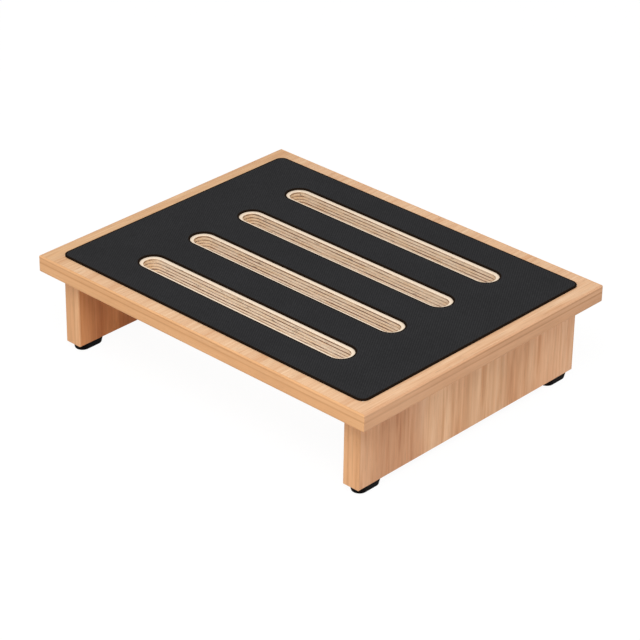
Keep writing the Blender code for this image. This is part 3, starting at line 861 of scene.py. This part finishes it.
def addThread(radius, ridge, pitch, low, turns, steps=18):  # a three-sided ridge wound round the Z axis
    bpy.ops.object.select_all(action="DESELECT")
    bpy.ops.mesh.primitive_circle_add(vertices=3, radius=ridge, location=(radius - ridge, 0, low),
                                      rotation=(math.pi / 2, math.pi / 2, 0))
    thread = bpy.context.active_object
    thread.name = "thread"
    bpy.ops.object.transform_apply(location=True, rotation=True, scale=True)
    wind = thread.modifiers.new("wind", "SCREW")
    wind.screw_offset = pitch
    wind.iterations = turns
    wind.steps = steps
    wind.render_steps = steps
    bpy.ops.object.modifier_apply(modifier=wind.name)
    thread.data.transform(Matrix.Rotation(threadTurn, 4, "Z"))
    mergePoints(thread)
    pickAll(thread)
    bpy.ops.mesh.fill_holes(sides=3)
    bpy.ops.mesh.normals_make_consistent(inside=False)
    endEdit()
    return thread


def addPointedRod(name, radius, low, high, tip, sides=24):  # a rod whose lower end runs out to a point
    rod = addRod(name, radius, low + tip, high, sides=sides)
    stretchEnd(rod, -tip, pointShare)
    return rod


def addThreadedShank(shank, low, high):
    rod = addPointedRod("screw", shank["core"], low, high, shank["tip"])
    start = low + shank["pitch"] * threadStart
    thread = addThread(shank["radius"], shank["ridge"], shank["pitch"], start, shank["turns"])
    joinSolids(thread, addPointedRod("outline", shank["radius"], low, high, shank["tip"]), "INTERSECT")
    joinSolids(rod, thread, "UNION")
    return rod


print("dowels")
dowel = {"radius": 0.004, "chamfer": 0.0008, "flutes": 16, "fluteDepth": 0.0003, "fluteEdge": 0.0001}
low, high = fixings["dowelLow"], fixings["dowelHigh"]
peg = addRod("dowel", dowel["radius"], low, high, sides=2 * dowel["flutes"])
roundEdges(peg, isLevel, dowel["chamfer"], 1)
facet = math.pi / dowel["flutes"]
pickFaces(peg, lambda face: abs(face.normal.z) < 0.01
          and round(math.atan2(face.normal.y, face.normal.x) / facet - 0.5) % 2 == 0)
bpy.ops.mesh.inset(thickness=dowel["fluteEdge"], depth=-dowel["fluteDepth"], use_individual=True)
endEdit()
smoothByAngle(peg, 25)
setOut(peg, "dowel_", "beechDowel_", rowPlaces(fixings["dowelY"]), "beech_dowel", dowelWood)

print("panel screws")
panelScrew = {"radius": 0.0025, "core": 0.0018, "ridge": 0.0006, "pitch": 0.0020, "turns": 15, "tip": 0.005,
              "headRadius": 0.005, "headHeight": 0.0028, "rim": 0.0004, "stub": 0.0014, "overlap": 0.0005,
              "cross": 0.0052, "crossDepth": 0.0026, "crossWidth": 0.0011}
top = fixings["screwTop"]
neck = top - panelScrew["headHeight"]
screw = addThreadedShank(panelScrew, fixings["screwTip"], neck + panelScrew["overlap"])
head = addRod("head", panelScrew["stub"], neck - panelScrew["overlap"], neck, sides=48)
stretchEnd(head, panelScrew["headHeight"] - panelScrew["rim"],
           panelScrew["headRadius"] / panelScrew["stub"])
stretchEnd(head, panelScrew["rim"])
joinSolids(screw, head, "UNION")
addDriveRecess(screw, top, panelScrew["cross"], panelScrew["crossDepth"], panelScrew["crossWidth"])
mergePoints(screw)
smoothByAngle(screw)
setOut(screw, "panel_screw_", "panelScrew_", rowPlaces(fixings["screwY"]), "zinc_steel", zincSteel)

print("foot screws and washers")
footScrew = {"radius": 0.00175, "core": 0.0012, "ridge": 0.00045, "pitch": 0.0013, "turns": 10,
             "tip": 0.0035, "end": 0.019, "headRadius": 0.0034, "headLow": 0.0011, "headHigh": 0.00343,
             "overlap": 0.0003, "crown": 0.0009, "cross": 0.0036, "crossDepth": 0.0016,
             "crossWidth": 0.0008}
washer = {"radius": 0.0039, "hole": 0.00205, "low": 0.00345, "high": 0.00448, "edge": 0.00015}
low, high = footScrew["headLow"], footScrew["headHigh"]
screw = addThreadedShank(footScrew, -footScrew["end"], footScrew["overlap"] - high)  # made point down
head = addRod("head", footScrew["headRadius"], -high, -low, sides=40)
roundEdges(head, lambda a, b: min(a.z, b.z) > -low - near, footScrew["crown"], 5)
joinSolids(screw, head, "UNION")
addDriveRecess(screw, -low, footScrew["cross"], footScrew["crossDepth"], footScrew["crossWidth"])
mergePoints(screw)
screw.data.transform(Matrix.Rotation(math.pi, 4, "X"))  # and then turned over
smoothByAngle(screw)
ring = addRod("washer", washer["radius"], washer["low"], washer["high"], sides=40)
roundEdges(ring, isLevel, washer["edge"], 2)
cutAway(ring, addRod("bore", washer["hole"], washer["low"] - drillReach, washer["high"] + drillReach,
                     sides=32))
smoothByAngle(ring)
footPlaces = {side + "_" + end + "_" + str(number): (x, y, 0)
              for side, x in panelSides for (end, number), y in footScrewPlaces.items()}
setOut(screw, "foot_screw_", "footScrew_", footPlaces, "zinc_steel", zincSteel)
setOut(ring, "foot_washer_", "footWasher_", footPlaces, "zinc_steel", zincSteel)


# Floor, light and camera

studio = {"floorSize": 8, "floorShade": 0.07, "floorGlow": 0.95, "floorBounce": 0.80, "skyLight": 0.55,
          "keyPlace": (0.80, -1.20, 2.0), "keySize": 1.3, "keyPower": 34}


def seenDirectly(nodes, links):  # 1 for camera, glossy and transmission rays
    path = nodes.new("ShaderNodeLightPath")
    seen = mathNode(nodes, links, "MAXIMUM", path.outputs["Is Camera Ray"], path.outputs["Is Glossy Ray"])
    return mathNode(nodes, links, "MAXIMUM", seen, path.outputs["Is Transmission Ray"])


def makeFloor():
    bpy.ops.object.select_all(action="DESELECT")
    bpy.ops.mesh.primitive_plane_add(size=studio["floorSize"], location=(0, 0, 0))
    floor = bpy.context.active_object
    floor.name = "floor"
    material, nodes, links, shader = newMaterial("paleFloor")
    nodes.remove(shader)
    bounce = nodes.new("ShaderNodeBsdfDiffuse")
    bounce.inputs["Color"].default_value = (*[studio["floorBounce"]] * 3, 1)
    paper = nodes.new("ShaderNodeBsdfDiffuse")
    paper.inputs["Color"].default_value = (*[studio["floorShade"]] * 3, 1)
    glow = nodes.new("ShaderNodeEmission")
    glow.inputs["Strength"].default_value = studio["floorGlow"]
    both = nodes.new("ShaderNodeAddShader")
    links.new(paper.outputs[0], both.inputs[0])
    links.new(glow.outputs[0], both.inputs[1])
    pick = nodes.new("ShaderNodeMixShader")
    links.new(seenDirectly(nodes, links), pick.inputs[0])
    links.new(bounce.outputs[0], pick.inputs[1])
    links.new(both.outputs[0], pick.inputs[2])
    links.new(pick.outputs[0], nodes["Material Output"].inputs["Surface"])
    floor.data.materials.append(material)


def makeSky():
    world = bpy.data.worlds.new("studioSky")
    bpy.context.scene.world = world
    world.use_nodes = True
    nodes, links = world.node_tree.nodes, world.node_tree.links
    strength = mathNode(nodes, links, "MULTIPLY_ADD", seenDirectly(nodes, links), 1 - studio["skyLight"],
                        studio["skyLight"])
    background = nodes["Background"]
    background.inputs["Color"].default_value = (1, 1, 1, 1)
    links.new(strength, background.inputs["Strength"])


def makeKeyLight():
    lamp = bpy.data.lights.new("keyLight", "AREA")
    lamp.size = studio["keySize"]
    lamp.energy = studio["keyPower"]
    key = bpy.data.objects.new("keyLight", lamp)
    key.location = studio["keyPlace"]
    key.rotation_euler = (-Vector(studio["keyPlace"])).to_track_quat("-Z", "Y").to_euler()
    bpy.context.scene.collection.objects.link(key)


view = {"azimuth": 42.85, "elevation": 29.20, "roll": 0.90, "distance": 2.735, "lens": 150.6,
        "aim": (0.0024, 0.0001, 0.050)}


def makeCamera():
    camera = bpy.data.objects.new("camera", bpy.data.cameras.new("camera"))
    azimuth, elevation = math.radians(view["azimuth"]), math.radians(view["elevation"])
    back = Vector((math.sin(azimuth) * math.cos(elevation), -math.cos(azimuth) * math.cos(elevation),
                   math.sin(elevation)))
    camera.location = Vector(view["aim"]) + back * view["distance"]
    level = (-back).to_track_quat("-Z", "Y").to_matrix()
    camera.rotation_euler = (level @ Matrix.Rotation(math.radians(view["roll"]), 3, "Z")).to_euler()
    camera.data.lens = view["lens"]
    camera.data.sensor_width = 36
    camera.data.clip_end = 50
    bpy.context.scene.collection.objects.link(camera)
    bpy.context.scene.camera = camera


print("studio")
makeFloor()
makeSky()
makeKeyLight()
makeCamera()
bpy.context.scene.view_settings.view_transform = "Standard"

print("done")
